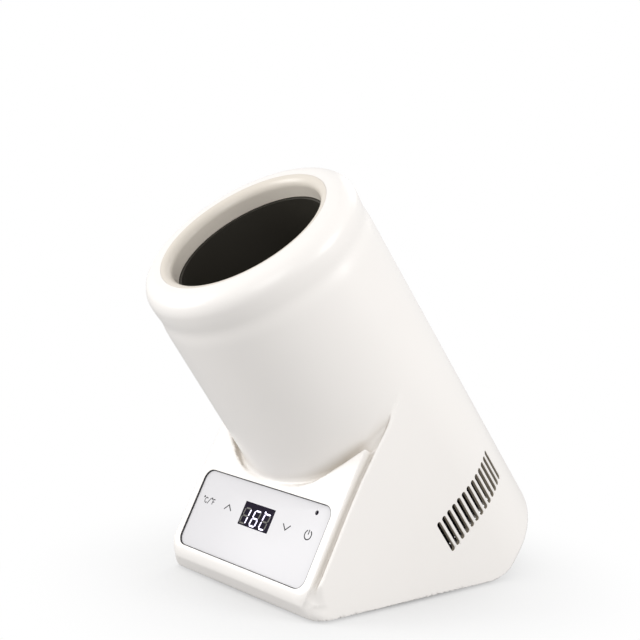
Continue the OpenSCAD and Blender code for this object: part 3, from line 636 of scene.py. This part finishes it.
def casing_hollow(fine):
    """Space inside the walls, less the screw bosses of the control board and the base"""
    ends = ((-0.0766, 0.078), (-0.03, 0.236), (-0.194, 0.138))
    hollow = surface_net("hollow", inner_field, [np.arange(low, high, 0.004 * fine) for low, high in ends])
    for x, u in BOARD_HOLES:
        spot = Matrix.Translation((x, u, 0))
        combine(hollow, rod(BOARD_BOSS_R, PANEL_BACK, BOARD_BOSS_HIGH, spot), "DIFFERENCE")
    from_base = PANEL.inverted() @ BASE
    for x, y in BASE_HOLES:
        spot = from_base @ Matrix.Translation((x, y, 0))
        combine(hollow, rod(BASE_BOSS_R, WALL, BASE_BOSS_HIGH, spot), "DIFFERENCE")
    return hollow


def casing_cutters():
    """Vents, the overlay's pocket and opening, the collar's seat and the socket's hole"""
    middle = Matrix.Translation((0, GLASS_L / 2, 0))
    cutters = [place(c, PANEL.inverted()) for c in vent_cutters()]
    cutters.append(plate("pocket", GLASS_W + 2 * GLASS_GAP, GLASS_L + 2 * GLASS_GAP, GLASS_CORNER + GLASS_GAP,
                         -GLASS_T, 0.01, middle))
    cutters.append(plate("opening", TOUCH_OPENING_W, GLASS_L - 2 * TOUCH_OPENING_EDGE, TOUCH_OPENING_CORNER,
                         -0.006, -GLASS_T + 0.0005, middle))
    from_tube = PANEL.inverted() @ TUBE
    cutters.append(rod(COLLAR_SEAM_R + COLLAR_PLAY, 0.255, 0.300, from_tube, 144))
    to_jack = from_tube @ Matrix.Translation((0, 0, JACK_S)) @ Matrix.Rotation(-pi / 2, 4, "X")
    cutters.append(rod(JACK_R + JACK_PLAY, 0.060, 0.090, to_jack, 48))
    return cutters


def casing():
    """Walled housing with its openings; the walls of the vents get a dark beige material that paints the
    shade inside them
    """
    fine = 1.0
    skin = casing_skin(fine)
    combine(skin, casing_hollow(fine), "DIFFERENCE")
    for cutter in casing_cutters():
        combine(skin, cutter, "DIFFERENCE")
    walls = vent_shade_faces(skin)
    shade_by_fields(skin, [(casing_field, 1), (inner_field, -1)], PANEL)
    finished(skin, SHELL_PLASTIC_WITH_CREVICE_SHADE, ["main_housing"], smooth=False)
    # The vent walls take the dark beige material: painted shade
    skin.data.materials.append(VENT_WALL_SHADE)
    skin.data.polygons.foreach_set("material_index", walls)


casing()

# --- Mouth and feet ---

COLLAR_LEDGE = 0.003
COLLAR_LEDGE_T = 0.002
COLLAR_WALL = 0.0025
COLLAR_CHAMFER = 0.0006
FOOT_TOP = 0.001
FOOT_ROUND = 0.0008
FOOT_DISH = 0.0005


def mouth_ring():
    """Inner half of the lip, down to the liner, in a darker beige copy of the shell plastic that paints the
    shade on the inner wall
    """
    top, mid = RIM_CREST, RIM_CREST - WALL - COLLAR_PLAY
    lip = arc(MOUTH_R + MOUTH_ROUND, top - MOUTH_ROUND, MOUTH_ROUND, 180, 90, 14)
    outline = [(MOUTH_R, LINER_TOP + COLLAR_CHAMFER), *lip,
               (COLLAR_SEAM_R, top), (COLLAR_SEAM_R, mid), (COLLAR_SEAM_R + COLLAR_LEDGE, mid),
               (COLLAR_SEAM_R + COLLAR_LEDGE, mid - COLLAR_LEDGE_T),
               (MOUTH_R + COLLAR_WALL, mid - COLLAR_LEDGE_T), (MOUTH_R + COLLAR_WALL, LINER_TOP),
               (MOUTH_R + COLLAR_CHAMFER, LINER_TOP)]
    finished(lathe("mouth_ring", outline, TUBE, 192), SHADED_MOUTH_PLASTIC, ["rim_collar"])


def feet():
    """Round rubber feet, slightly dished below"""
    edge = arc(FOOT_R - FOOT_ROUND, -FOOT_GAP + FOOT_ROUND, FOOT_ROUND, 0, -90, 4)
    for i, (x, y) in enumerate(FEET):
        outline = [(0.0001, FOOT_TOP), (FOOT_R, FOOT_TOP), *edge, (FOOT_R - 0.003, -FOOT_GAP),
                   (FOOT_R - 0.0035, -FOOT_GAP + FOOT_DISH), (0.0001, -FOOT_GAP + FOOT_DISH)]
        foot = lathe(f"foot_{i + 1}", outline, BASE @ Matrix.Translation((x, y, 0)), 48)
        finished(foot, RUBBER, ["rubber_feet"])


mouth_ring()
feet()

# --- Control panel ---

ON_GLASS = PANEL @ Matrix.Translation((0, GLASS_L / 2, 0))
ON_ROW = PANEL @ Matrix.Translation((0, TOUCH_ROW, 0))
ON_LED = PANEL @ Matrix.Translation((TOUCH_OUTER, LED_U, 0))
PRINT_T = 0.00004
LED_R = 0.0014
GAP_SHADE_HIGH = 0.0009
PLAY = 0.00001
DISPLAY_CORNER = 0.0004
DISPLAY_DEPTH = 0.0005
WINDOW_LEVEL = -0.00008


def overlay():
    """Touch overlay with the display window and the indicator lens set into it"""
    made = plate("touch_overlay", GLASS_W, GLASS_L, GLASS_CORNER, -GLASS_T + PLAY, 0, ON_GLASS, edge=0.0003)
    recess = plate("cut", DISPLAY_W, DISPLAY_H, DISPLAY_CORNER, -DISPLAY_DEPTH, 0.001, ON_ROW)
    combine(made, recess, "DIFFERENCE")
    combine(made, rod(LED_R + 0.00005, -0.003, 0.001, ON_LED), "DIFFERENCE")
    finished(made, OVERLAY, ["touch_glass"])
    window = plate("display_window", DISPLAY_W - 2 * PLAY, DISPLAY_H - 2 * PLAY, DISPLAY_CORNER,
                   -DISPLAY_DEPTH + PLAY, WINDOW_LEVEL, ON_ROW)
    finished(window, WINDOW)
    dome = [(PLAY, -GLASS_T), (LED_R, -GLASS_T), *arc(0, -LED_R, LED_R, 0, 88, 6)]
    finished(lathe("indicator_lens", dome, ON_LED, 32), WINDOW)


def gap_shade_ring():
    """Painted shade: a black ring that fills the gap round the overlay, where the gap lies in shade"""
    outer = rounded_rectangle(GLASS_W, GLASS_L, GLASS_CORNER, GLASS_GAP - 2 * PLAY)
    inner = rounded_rectangle(GLASS_W, GLASS_L, GLASS_CORNER, 2 * PLAY)
    low, high = -GLASS_T + PLAY, GAP_SHADE_HIGH
    rows = ((outer, low), (outer, high), (inner, high), (inner, low), (outer, low))
    loops = [[(x, y, h) for x, y in outline] for outline, h in rows]
    finished(loft_ring("overlay_gap_shade", loops, ON_GLASS), BLACK_FOAM_AND_GAP_SHADE)


def stroke(points, width, closed):
    """Thin printed line along points, as a solid; closed joins the last point to the first"""
    count = len(points)
    loops = []
    for i, (x, y) in enumerate(points):
        back = points[i - 1] if i or closed else points[i]
        on = points[(i + 1) % count] if i + 1 < count or closed else points[i]
        d0 = Vector((x - back[0], y - back[1]))
        d1 = Vector((on[0] - x, on[1] - y))
        d0 = d0.normalized() if d0.length else d1.normalized()
        d1 = d1.normalized() if d1.length else d0
        bisector = (d0 + d1).normalized()
        side = Vector((-bisector.y, bisector.x)) * (width / 2 / max(bisector.dot(d0), 0.35))
        loops.append([(x - side.x, y - side.y, 0), (x + side.x, y + side.y, 0),
                      (x + side.x, y + side.y, PRINT_T), (x - side.x, y - side.y, PRINT_T)])
    if not closed:
        return loft("stroke", loops)
    vertices = [p for loop in loops for p in loop]
    faces = [[i * 4 + k, i * 4 + (k + 1) % 4, (i + 1) % count * 4 + (k + 1) % 4, (i + 1) % count * 4 + k]
             for i in range(count) for k in range(4)]
    return outward(new_object("stroke", vertices, faces))


def mark(name, strokes, x, width):
    """Printed symbol on the touch row, from open or closed strokes"""
    lines = [stroke(points, width, closed) for points, closed in strokes]
    made = place(joined(name, lines), ON_ROW @ Matrix.Translation((x, 0, 0)))
    finished(made, INK)


def letter_c(x, w, h):
    """Open stroke from the upper end of a C to the lower end"""
    r = w / 2
    return arc(x, h / 2 - r, r, 35, 180, 8) + arc(x, r - h / 2, r, 180, 325, 8), False


UNIT_H = 0.0033
UNIT_RING_R = 0.00042
UNIT_LINE_W = 0.00058
ARROW_HALF_W = 0.0034
ARROW_HALF_H = 0.0017
POWER_R = 0.0028
MARK_LINE_W = 0.0007


def unit_mark():
    """Degrees C over degrees F, side by side with a slash"""
    h = UNIT_H
    ring = arc(0, 0, UNIT_RING_R, 0, 315, 7)
    strokes = [([(x - 0.0058, y + h / 2 + 0.0002) for x, y in ring], True),
               letter_c(-0.0032, 0.0026, h),
               ([(-0.0014, -h * 0.62), (0.0008, h * 0.62)], False),
               ([(x + 0.0020, y + h / 2 + 0.0002) for x, y in ring], True),
               ([(0.0053, h / 2), (0.0034, h / 2), (0.0034, -h / 2)], False),
               ([(0.0034, 0.0001), (0.0050, 0.0001)], False)]
    mark("mark_unit", strokes, -TOUCH_OUTER, UNIT_LINE_W)


def touch_marks():
    """Unit, up, down and power, from left to right"""
    unit_mark()
    w, h = ARROW_HALF_W, ARROW_HALF_H
    mark("mark_up", [([(-w, -h), (0, h), (w, -h)], False)], -TOUCH_INNER, MARK_LINE_W)
    mark("mark_down", [([(-w, h), (0, -h), (w, h)], False)], TOUCH_INNER, MARK_LINE_W)
    r = POWER_R
    mark("mark_power", [(arc(0, 0, r, 118, 422, 30), False), ([(0, 0.0002), (0, r + 0.0003)], False)],
         TOUCH_OUTER, MARK_LINE_W)


DIGIT_W = 0.0052
DIGIT_H = 0.0096
DIGIT_DROP = 0.0013
DIGIT_SPOTS = (-0.0101, -0.0006, 0.0086)
DIGIT_SLANT = radians(8)
SEGMENT_W = 0.00095
SEGMENT_GAP = 0.0015
DEGREE_SPOT = (0.0063, 0.0042)
DEGREE_R = 0.00075
DIGITS = [(0, 1, 1, 0, 0, 0, 0), (1, 0, 1, 1, 1, 1, 1), (1, 0, 0, 1, 1, 1, 0)]
SEGMENT_LOW = -0.000078
LIT_LEVEL = -0.00003
UNLIT_LEVEL = -0.00005


def segment_outline(k):
    """Six-sided bar of a seven-segment digit; a to g run clockwise from the top, with g in the middle"""
    w, h = DIGIT_W / 2, DIGIT_H / 4
    spots = [(0, 2 * h, 0), (w, h, 1), (w, -h, 1), (0, -2 * h, 0), (-w, -h, 1), (-w, h, 1), (0, 0, 0)]
    x, y, upright = spots[k]
    half, t = ((DIGIT_H / 2 if upright else DIGIT_W) - SEGMENT_GAP) / 2, SEGMENT_W / 2
    bar = [(-half - t, 0), (-half, -t), (half, -t), (half + t, 0), (half, t), (-half, t)]
    if upright:
        bar = [(-b, a) for a, b in bar]
    return [(x + a + (y + b) * tan(DIGIT_SLANT), y + b) for a, b in bar]


def upright_bar(outline, high):
    return loft("bar", [[(x, y, h) for x, y in outline] for h in (SEGMENT_LOW, high)])


def digits(name, lit, surface, replaced, high):
    """All lit or all unlit segments; the lit ones include the degree ring"""
    bars = []
    for across, shown in zip(DIGIT_SPOTS, DIGITS):
        for k in range(7):
            if shown[k] == lit:
                bars.append(upright_bar([(x + across, y - DIGIT_DROP) for x, y in segment_outline(k)], high))
    if lit:
        ring = [(DEGREE_SPOT[0] + x, DEGREE_SPOT[1] + y) for x, y in arc(0, 0, DEGREE_R, 0, 315, 7)]
        bars.append(upright_bar(ring, high))
    finished(place(joined(name, bars), ON_ROW), surface, [replaced], smooth=False)


overlay()
gap_shade_ring()
touch_marks()
digits("lit_digits", 1, LIT, "lit_segments", LIT_LEVEL)
digits("unlit_digits", 0, UNLIT, "unlit_segments", UNLIT_LEVEL)

# --- Fan ---

ROTOR_LOW = 0.0385
ROTOR_HIGH = 0.0535
HUB_R = 0.016
HUB_WALL = 0.0012
HUB_ROUND = 0.0012
HUB_FLOOR = 0.0015
SHAFT_BORE_R = 0.0017
BLADE_R = 0.0372
BLADES = 7
BLADE_T = 0.0006
BLADE_SUNK = 0.0004
BLADE_CAMBER = 0.0016
BLADE_HALF_H = 0.0066
ROOT_CHORD = 0.0150
CHORD_GROWTH = 0.0035
ROOT_PITCH = 50
PITCH_LOSS = 22
TIP_SWEEP = 0.16


def blade(turn):
    """Curved, twisted blade from the hub to its swept tip"""
    spans, chords = 9, 9
    top, bottom = [], []
    for i in range(spans):
        share = i / (spans - 1)
        r = HUB_R - BLADE_SUNK + (BLADE_R - HUB_R + BLADE_SUNK) * share
        pitch = radians(ROOT_PITCH - PITCH_LOSS * share)
        chord = ROOT_CHORD + CHORD_GROWTH * share
        sweep = turn + TIP_SWEEP * share * share
        for j in range(chords):
            c = (j / (chords - 1) - 0.5) * chord
            camber = BLADE_CAMBER * (1 - (2 * c / chord) ** 2)
            around = sweep + (c * cos(pitch) - camber * sin(pitch)) / r
            height = c * sin(pitch) + camber * cos(pitch)
            t = BLADE_T * (1 - 0.6 * (2 * c / chord) ** 2)
            middle = (ROTOR_LOW + ROTOR_HIGH) / 2 + min(max(height, -BLADE_HALF_H), BLADE_HALF_H)
            spot = (r * cos(around), r * sin(around))
            top.append((*spot, middle + t))
            bottom.append((*spot, middle - t))
    count = spans * chords
    faces = []
    for i in range(spans - 1):
        for j in range(chords - 1):
            a = i * chords + j
            faces.append([a, a + chords, a + chords + 1, a + 1])
            faces.append([a + count, a + 1 + count, a + chords + 1 + count, a + chords + count])
    rim = ([i * chords for i in range(spans)] + [(spans - 1) * chords + j for j in range(1, chords)]
           + [i * chords + chords - 1 for i in range(spans - 2, -1, -1)] + list(range(chords - 2, 0, -1)))
    for a, b in zip(rim, rim[1:] + rim[:1]):
        faces.append([a, b, b + count, a + count])
    return outward(new_object("blade", top + bottom, faces))


def impeller():
    """Open hub with its blades, which turns with the fan body"""
    cap = arc(HUB_R - HUB_ROUND, ROTOR_LOW + HUB_ROUND, HUB_ROUND, -90, 0, 5)
    outline = [(SHAFT_BORE_R, ROTOR_LOW), *cap, (HUB_R, ROTOR_HIGH), (HUB_R - HUB_WALL, ROTOR_HIGH),
               (HUB_R - HUB_WALL, ROTOR_LOW + HUB_FLOOR), (SHAFT_BORE_R, ROTOR_LOW + HUB_FLOOR)]
    hub = lathe("hub", outline, Matrix.Identity(4), 96)
    for i in range(BLADES):
        combine(hub, blade(2 * pi * i / BLADES), "UNION")
    hub.name = "fan_impeller"
    finished(place(hub, TUBE), BLACK, ["fan_rotor"], body="fan")


impeller()

# --- CAD nodes that keep their shape ---

NODE_LOOKS = {
    SHELL_PLASTIC_WITH_CREVICE_SHADE: ["base_cover"],
    LINER: ["well_liner"],
    BLACK: ["air_baffle", "fan_frame", "power_jack", "display_module", "temperature_sensor", "indicator_led"],
    RUBBER: ["liner_gasket"],
    PAD: ["bottle_pad"],
    FOAM: ["foam_jacket", "foam_floor"],
    THERMAL: ["thermal_pad"],
    ALUMINIUM: ["cold_block"],
    ANODISED: ["heat_sink"],
    CERAMIC: ["peltier_cold_plate", "peltier_hot_plate"],
    PELLET: ["peltier_pellets"],
    BLACK_FOAM_AND_GAP_SHADE: ["peltier_seal"],
    STEEL: ["clamp_screws", "fan_screws", "board_screws", "power_board_screws", "base_screws", "fan_shaft"],
    NYLON: ["clamp_bushes"],
    MAGNET: ["fan_magnet"],
    COPPER: ["fan_stator"],
    BRASS: ["touch_springs"],
    BOARD: ["control_board", "power_board"],
    PARTS: ["power_components"],
    GREY_WIRE: ["panel_cable", "sensor_lead"],
    RED_WIRE: ["peltier_leads"],
    BLACK_WIRE: ["jack_lead", "fan_lead"],
}


def dress_nodes():
    for surface, names in NODE_LOOKS.items():
        for name in names:
            node = frame["nodes"][name]
            if not node.material_slots:
                node.data.materials.append(surface)
            for held in node.material_slots:
                held.material = surface


dress_nodes()

# --- Camera, floor and light ---

CAMERA_AZIMUTH = radians(49.146)
CAMERA_ELEVATION = radians(5.542)
CAMERA_ROLL = radians(2.108)
CAMERA_VIEW = radians(28.078)
CAMERA_PLACE = Vector((0.5909, -0.6178, 0.2367))
LIGHT_AIM = Vector((0, 0, 0.12))
WORLD_LIGHT = 0.8
FLOOR_LIGHT = 0.5
FLOOR_BOUNCE = 0.45
FLOOR_FADE = 0.21
FLOOR_HALF = 6


def camera():
    data = bpy.data.cameras.new("camera")
    data.angle = CAMERA_VIEW
    data.clip_start, data.clip_end = 0.01, 20
    made = bpy.data.objects.new("camera", data)
    bpy.context.scene.collection.objects.link(made)
    a, e = CAMERA_AZIMUTH, CAMERA_ELEVATION
    back = Vector((sin(a) * cos(e), -cos(a) * cos(e), sin(e)))
    right = Vector((cos(a), sin(a), 0))
    up = back.cross(right)
    rolled_right = right * cos(CAMERA_ROLL) + up * sin(CAMERA_ROLL)
    rolled_up = up * cos(CAMERA_ROLL) - right * sin(CAMERA_ROLL)
    turn = Matrix((rolled_right, rolled_up, back)).transposed().to_4x4()
    made.matrix_world = BASE @ Matrix.Translation(CAMERA_PLACE) @ turn
    bpy.context.scene.camera = made


def light(name, spot, size, power):
    """Square softbox that faces the middle of the cooler"""
    data = bpy.data.lights.new(name, "AREA")
    data.size = size
    data.energy = power
    made = bpy.data.objects.new(name, data)
    bpy.context.scene.collection.objects.link(made)
    made.location = spot
    made.rotation_mode = "QUATERNION"
    made.rotation_quaternion = (Vector(spot) - LIGHT_AIM).to_track_quat("Z", "Y")


def seen_or_cast(tree, cast):
    """1 for what the camera sees directly, and a lower value for the light that is cast on other things"""
    path = tree.nodes.new("ShaderNodeLightPath")
    value = tree.nodes.new("ShaderNodeMapRange")
    value.inputs["To Min"].default_value = cast
    value.inputs["To Max"].default_value = 1.0
    tree.links.new(path.outputs["Is Camera Ray"], value.inputs["Value"])
    return value.outputs["Result"]


def distance_fade(tree):
    """0 under the cooler, rising smoothly to 1 at FLOOR_FADE"""
    spot = tree.nodes.new("ShaderNodeTexCoord")
    reach = tree.nodes.new("ShaderNodeVectorMath")
    reach.operation = "LENGTH"
    tree.links.new(spot.outputs["Object"], reach.inputs[0])
    fade = tree.nodes.new("ShaderNodeMapRange")
    fade.interpolation_type = "SMOOTHSTEP"
    fade.inputs["From Min"].default_value = 0.0
    fade.inputs["From Max"].default_value = FLOOR_FADE
    tree.links.new(reach.outputs["Value"], fade.inputs["Value"])
    return fade.outputs["Result"]


def floor_paper():
    """Pale paper that fades to lit white away from the cooler"""
    made = material("floor_paper", (0.74, 0.74, 0.74), 0.9, spread=0.004, bump=0.0)
    nodes, links = made.node_tree.nodes, made.node_tree.links
    glow = nodes.new("ShaderNodeEmission")
    links.new(seen_or_cast(made.node_tree, FLOOR_LIGHT), glow.inputs["Strength"])
    shade = nodes.new("ShaderNodeMix")
    shade.data_type = "RGBA"
    shade.blend_type = "MULTIPLY"
    shade.inputs["Factor"].default_value = 1
    paper = nodes["Principled BSDF"].inputs["Base Color"]
    links.new(paper.links[0].from_socket, shade.inputs["A"])
    links.new(seen_or_cast(made.node_tree, FLOOR_BOUNCE), shade.inputs["B"])
    links.new(shade.outputs["Result"], paper)
    mix = nodes.new("ShaderNodeMixShader")
    links.new(distance_fade(made.node_tree), mix.inputs["Fac"])
    links.new(nodes["Principled BSDF"].outputs["BSDF"], mix.inputs[1])
    links.new(glow.outputs["Emission"], mix.inputs[2])
    links.new(mix.outputs["Shader"], nodes["Material Output"].inputs["Surface"])
    return made


def studio_world():
    """Soft even light, with a plain white background behind the cooler"""
    world = bpy.data.worlds.new("studio")
    world.use_nodes = True
    back = world.node_tree.nodes["Background"]
    back.inputs["Color"].default_value = (1, 1, 1, 1)
    world.node_tree.links.new(seen_or_cast(world.node_tree, WORLD_LIGHT), back.inputs["Strength"])
    bpy.context.scene.world = world


def studio():
    """Floor, world and four softboxes"""
    corners = [(x * FLOOR_HALF, y * FLOOR_HALF, 0) for x, y in ((-1, -1), (1, -1), (1, 1), (-1, 1))]
    floor = new_object("floor", corners, [(0, 1, 2, 3)])
    floor.data.materials.append(floor_paper())
    studio_world()
    light("key", (-0.95, -1.25, 0.55), 0.8, 12)
    light("fill", (1.0, -1.1, 0.55), 0.8, 5.5)
    light("side", (1.5, 0.75, 0.75), 0.8, 10)
    light("rear", (-0.6, 1.4, 1.2), 1.0, 4)
    bpy.context.scene.view_settings.view_transform = "Standard"


camera()
studio()
